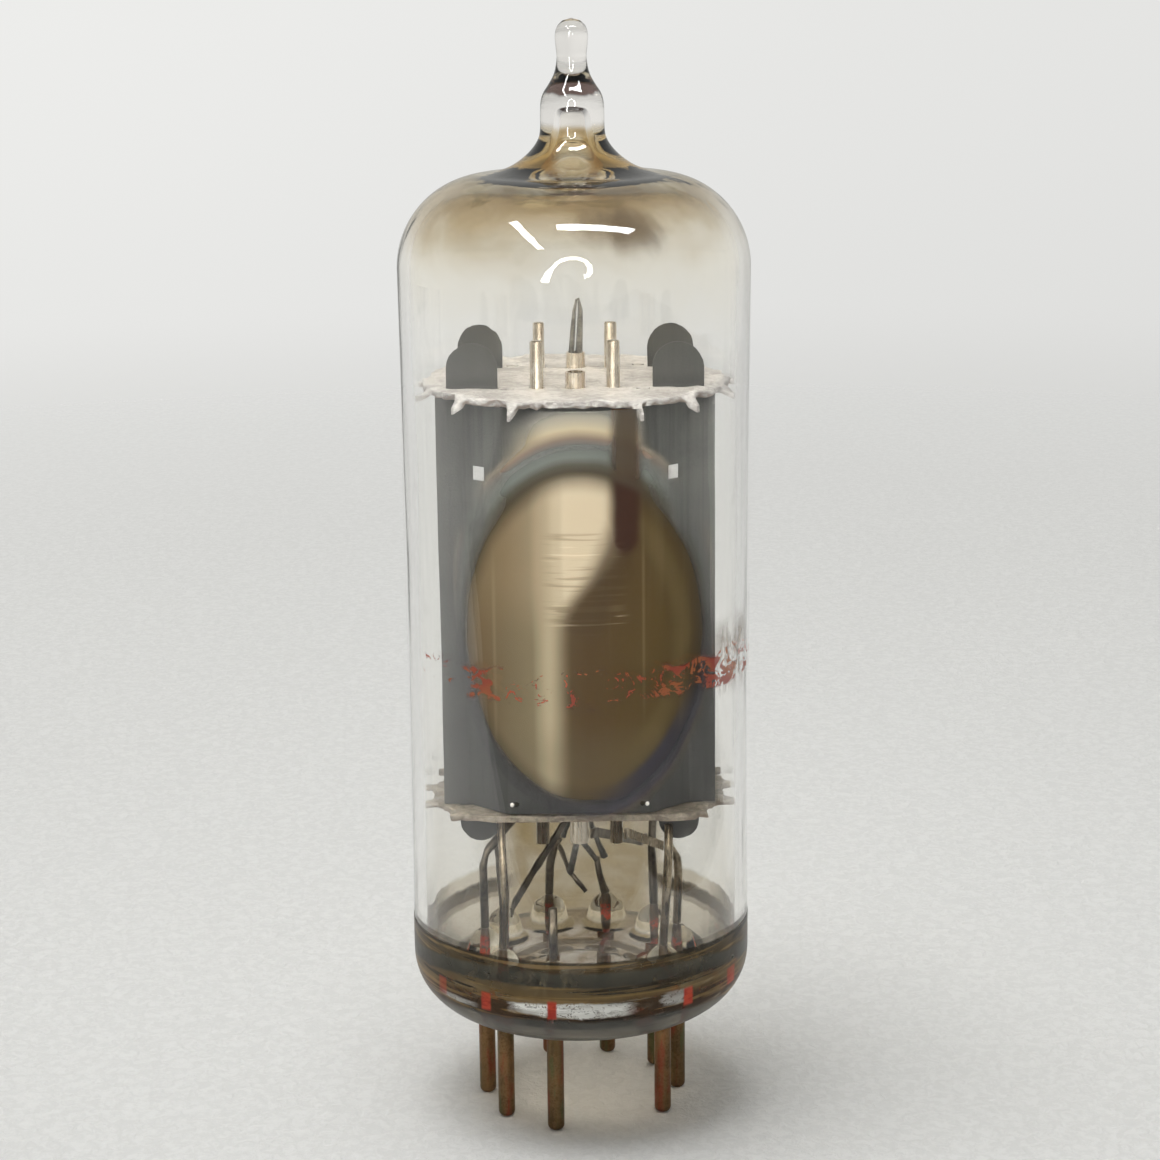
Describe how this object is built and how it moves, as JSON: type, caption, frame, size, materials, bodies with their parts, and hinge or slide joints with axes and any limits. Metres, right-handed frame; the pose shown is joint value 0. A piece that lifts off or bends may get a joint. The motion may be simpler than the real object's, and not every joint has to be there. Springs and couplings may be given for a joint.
{
  "type": "vacuum tube",
  "caption": "Miniature glass vacuum tube: clear bulb with exhaust tip, glass button base with pins, mica-held dark plates, grid rods, cathodes and a getter.",
  "frame": {"origin": "on the tube's axis, at the level of the pin tips", "axes": "+Z along the tube's axis from the pin tips up to the exhaust tip; -Y towards the front plate, the side that carries the getter mirror; +X to the right seen from the front"},
  "size_m": [0.0206, 0.0206, 0.066],
  "materials": {
    "clear_glass": "clear blown glass, slightly smoked in use",
    "tarnished_pin_nickel": "nickel pin wire tarnished copper brown",
    "red_sealing_wire": "copper-clad sealing wire with red oxide",
    "bright_nickel": "drawn nickel, satin",
    "dull_nickel": "nickel darkened by heat",
    "white_mica": "mica with a sprayed white coat",
    "brown_mica": "bare mica, translucent brown",
    "carbonised_plate": "nickel sheet with a baked carbon coat",
    "coated_heater_wire": "tungsten wire with a sprayed ceramic coat",
    "getter_steel": "plated steel, heat stained"
  },
  "bodies": {
    "root": {"bottom_mica": "brown_mica", "bulb": "clear_glass", "cathode_back": "bright_nickel", "cathode_back_strap": "dull_nickel", "cathode_front": "bright_nickel", "cathode_front_strap": "dull_nickel", "getter_strap": "getter_steel", "getter_trough": "getter_steel", "glass_button": "clear_glass", "grid_back_rod_left": "bright_nickel", "grid_back_rod_right": "bright_nickel", "grid_back_winding": "bright_nickel", "grid_front_rod_left": "bright_nickel", "grid_front_rod_right": "bright_nickel", "grid_front_strap": "bright_nickel", "grid_front_winding": "bright_nickel", "heater_back": "coated_heater_wire", "heater_front": "coated_heater_wire", "heater_link": "dull_nickel", "lead_1": "bright_nickel", "lead_2": "bright_nickel", "lead_3": "dull_nickel", "lead_4": "dull_nickel", "lead_5": "dull_nickel", "lead_6": "dull_nickel", "lead_7": "dull_nickel", "lead_8": "bright_nickel", "lead_9": "dull_nickel", "pin_1": "tarnished_pin_nickel", "pin_2": "tarnished_pin_nickel", "pin_3": "tarnished_pin_nickel", "pin_4": "tarnished_pin_nickel", "pin_5": "tarnished_pin_nickel", "pin_6": "tarnished_pin_nickel", "pin_7": "tarnished_pin_nickel", "pin_8": "tarnished_pin_nickel", "pin_9": "tarnished_pin_nickel", "plate_back_inner": "carbonised_plate", "plate_back_outer": "carbonised_plate", "plate_front_inner": "carbonised_plate", "plate_front_outer": "carbonised_plate", "seal_wire_1": "red_sealing_wire", "seal_wire_2": "red_sealing_wire", "seal_wire_3": "red_sealing_wire", "seal_wire_4": "red_sealing_wire", "seal_wire_5": "red_sealing_wire", "seal_wire_6": "red_sealing_wire", "seal_wire_7": "red_sealing_wire", "seal_wire_8": "red_sealing_wire", "seal_wire_9": "red_sealing_wire", "top_mica": "white_mica"}
  },
  "joints": []
}
